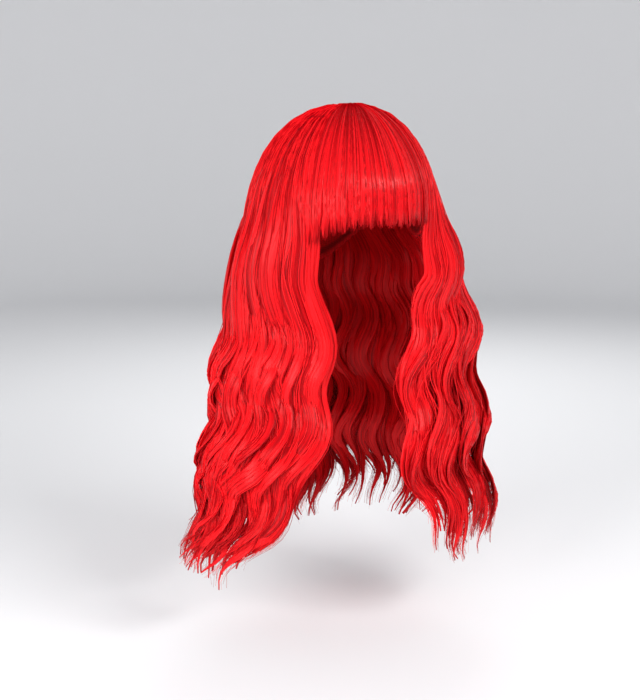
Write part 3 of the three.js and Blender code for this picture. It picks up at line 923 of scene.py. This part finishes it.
def cap_shell(around_count=72, down_count=40):
    """Two skins of the egg, the outer one a wall further out, joined by a rounded band at the edge.

    The inner skin swells by up to 0.5 mm at every track, by the square of a raised cosine of the
    distance down. The last 9 mm before the edge are a band, which is 0.3 mm prouder outside and
    0.7 mm inside.
    """
    around = np.arange(around_count) * 360 / around_count
    edge = cap_edge(around)
    share = np.linspace(0, 1, down_count)[1:, None]
    down = share * edge
    band = smooth((1 - share) * edge * MM_PER_DEGREE, band_width, band_width - 3)
    weft = 0.35 * (1 + np.cos(down * MM_PER_DEGREE / track_gap * 2 * np.pi)) * (1 - band)
    outer = over_head(around, down, cap_wall + 0.1 + 0.3 * band)
    inner = over_head(around, down, 0.9 - weft ** 2 - 0.7 * band)
    return np.concatenate([outer, inner[::-1]])[None]


# The shell is one tube with the head's shape, which starts at the top and comes back inside.
add_piece("cap_net", [(cap_shell(), [0.5])], net_finish(), solid="cap")

# %% [markdown]
# ## The set
#
# A wig keeps this form only on a head, so it is held up at its cap with nothing in it. The floor
# is a pale sheet that bends up all round. A flat plane would end at a hard horizon, and this one
# has none from any side.


# %% A floor that bends up into a wall
def pale_floor():
    """A round floor that bends up into a wall all round: a disc, a quarter of a circle, a cylinder."""
    around = np.linspace(0, 2 * np.pi, 97)[:-1]
    bend = np.linspace(0, np.pi / 2, 20)
    flat, radius, height, floor_level = 2.2, 0.8, 2.2, -0.50
    distance = np.append(flat + radius * np.sin(bend), flat + radius)
    level = np.append(radius * (1 - np.cos(bend)), height) + floor_level
    corners = len(around)
    points = np.stack([np.outer(distance, np.cos(around)), np.outer(distance, np.sin(around)),
                       np.repeat(level[:, None], corners, 1)], -1)
    ring = np.arange(len(bend))[:, None] * corners
    first = ring + np.arange(corners)
    after = ring + (np.arange(corners) + 1) % corners
    faces = np.stack([first, first + corners, after + corners, after], -1).reshape(-1, 4).tolist()
    mesh = bpy.data.meshes.new("pale_floor")
    mesh.from_pydata(points.reshape(-1, 3).tolist(), [], [list(range(corners))] + faces)
    mesh.polygons.foreach_set("use_smooth", np.ones(len(faces) + 1, bool))
    material, _, shader = new_material("pale_paper")
    shader.inputs["Base Color"].default_value = (0.76, 0.76, 0.77, 1)
    shader.inputs["Roughness"].default_value = 0.9
    mesh.materials.append(material)
    made = bpy.data.objects.new("pale_floor", mesh)
    bpy.context.scene.collection.objects.link(made)
    print("floor faces:", len(mesh.polygons))


pale_floor()

# %% [markdown]
# ## Light and camera
#
# Three soft lamps and a pale sky light the wig, as in a plain product studio. The main lamp is a
# wide, flat one that stands high in front, because such a lamp throws the light band across the
# fringe. The camera looks at the wig from the wearer's right and a little above.


# %% Lamps and camera
def lamp(name, place, target, size, power):
    """A soft lamp, as wide and high as size says, at a place and turned to shine at the target."""
    light = bpy.data.lights.new(name, "AREA")
    light.shape, light.energy = "RECTANGLE", power
    light.size, light.size_y = size
    made = bpy.data.objects.new(name, light)
    bpy.context.scene.collection.objects.link(made)
    aim(made, np.array(place, float), np.array(target, float))


def aim(thing, place, target):
    """Put a lamp or camera at a place and turn its -Z axis to the target, with Z up."""
    back = unit(place - target)
    right = unit(np.cross([0, 0, 1.0], back))
    up = np.cross(back, right)
    matrix = np.eye(4)
    matrix[:3, 0], matrix[:3, 1], matrix[:3, 2], matrix[:3, 3] = right, up, back, place
    thing.matrix_world = matrix.T.tolist()


def set_camera():
    """The camera: 18 degrees round to the wearer's right, 11 degrees above, 1.15 m away."""
    azimuth, elevation, distance = np.radians(-18), np.radians(11), 1.15
    target = np.array([-0.0254, -0.010, -0.2258])
    camera = bpy.data.cameras.new("camera")
    camera.lens = 60.5
    camera.sensor_width = 36
    made = bpy.data.objects.new("camera", camera)
    bpy.context.scene.collection.objects.link(made)
    back = np.array([np.sin(azimuth) * np.cos(elevation), -np.cos(azimuth) * np.cos(elevation),
                     np.sin(elevation)])
    aim(made, target + distance * back, target)
    bpy.context.scene.camera = made


lamp("main_lamp", place=(0.72, -1.25, 0.78), target=(0, 0, -0.15), size=(1.0, 0.25), power=24)
lamp("side_lamp", place=(-1.4, -0.9, 0.1), target=(0, 0, -0.25), size=(0.8, 1.0), power=30)
lamp("back_lamp", place=(0.6, 1.2, 0.6), target=(0, 0, -0.2), size=(0.8, 0.8), power=8)
world = bpy.data.worlds.new("sky")
world.use_nodes = True
world.node_tree.nodes["Background"].inputs["Color"].default_value = (0.95, 0.97, 1.0, 1)
world.node_tree.nodes["Background"].inputs["Strength"].default_value = 0.5
bpy.context.scene.world = world
bpy.context.scene.view_settings.view_transform = "Standard"
set_camera()
print("lamps:", len(bpy.data.lights), "camera at:", np.round(bpy.context.scene.camera.location, 3))
